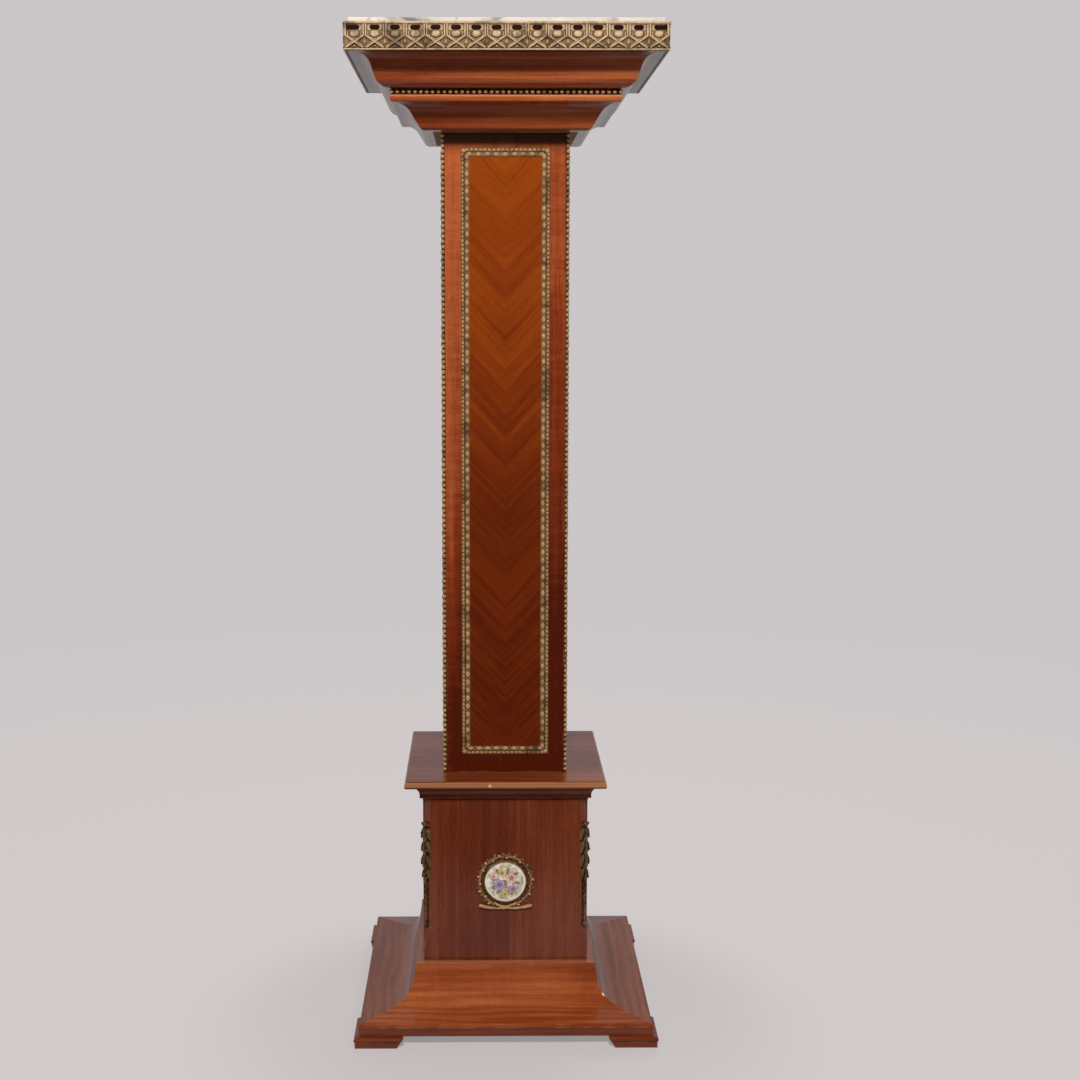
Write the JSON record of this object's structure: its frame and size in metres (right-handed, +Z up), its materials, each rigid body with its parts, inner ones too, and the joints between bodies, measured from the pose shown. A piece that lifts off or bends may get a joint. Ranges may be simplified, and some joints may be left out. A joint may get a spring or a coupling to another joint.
{
  "type": "pedestal column stand",
  "caption": "Square veneered wooden pedestal: coved base on bracket feet, a die with brass mounts, a tall panelled shaft and a moulded capital under a loose marble slab.",
  "frame": {"origin": "middle of the footprint, on the floor", "axes": "+Z up along the column, front (the plaque's side) towards -Y, +X to the right seen from the front"},
  "size_m": [0.35, 0.35, 1.15],
  "materials": {
    "mahogany": "polished mahogany veneer, glossy shellac",
    "chevron_veneer": "polished chevron-laid veneer",
    "carcase": "unpolished softwood",
    "brass": "stamped gilt brass, worn",
    "antique_brass": "cast brass, darkened",
    "marble": "polished cream marble with grey veins",
    "porcelain": "glazed and painted",
    "steel": "plain wood screws"
  },
  "bodies": {
    "stand": {"foot_front_left": "mahogany", "foot_front_right": "mahogany", "foot_back_right": "mahogany", "foot_back_left": "mahogany", "base_board": "mahogany", "base_core": "carcase", "base_cove_front": "mahogany", "base_cove_right": "mahogany", "base_cove_back": "mahogany", "base_cove_left": "mahogany", "die_panel_front": "mahogany", "die_panel_right": "mahogany", "die_panel_back": "mahogany", "die_panel_left": "mahogany", "die_glue_blocks": "carcase", "cap_board": "mahogany", "cap_cove": "mahogany", "shaft_board_front": "mahogany", "shaft_board_right": "mahogany", "shaft_board_back": "mahogany", "shaft_board_left": "mahogany", "chevron_panel_front": "chevron_veneer", "chevron_panel_right": "chevron_veneer", "chevron_panel_back": "chevron_veneer", "chevron_panel_left": "chevron_veneer", "panel_frame_front": "brass", "panel_frame_right": "brass", "panel_frame_back": "brass", "panel_frame_left": "brass", "arris_beads": "brass", "shaft_foot_joiner": "carcase", "shaft_head_joiner": "carcase", "capital_lower_core": "carcase", "lower_crown_front": "mahogany", "lower_crown_right": "mahogany", "lower_crown_back": "mahogany", "lower_crown_left": "mahogany", "middle_board": "mahogany", "pearl_strips": "brass", "capital_upper_core": "carcase", "upper_crown_front": "mahogany", "upper_crown_right": "mahogany", "upper_crown_back": "mahogany", "upper_crown_left": "mahogany", "top_board": "mahogany", "top_edging": "mahogany", "gallery_band_front": "brass", "gallery_band_right": "brass", "gallery_band_back": "brass", "gallery_band_left": "brass", "corner_mount_front_left": "antique_brass", "corner_mount_front_right": "antique_brass", "corner_mount_back_right": "antique_brass", "corner_mount_back_left": "antique_brass", "plaque": "porcelain", "plaque_bezel": "antique_brass", "wreath_mount": "antique_brass", "wood_screws": "steel"},
    "marble": {"marble_slab": "marble"}
  },
  "joints": [
    {"name": "marble_lift", "type": "slide", "parent": "stand", "child": "marble", "axis": [0, 0, 1], "range_m": [0, 0.025]}
  ]
}
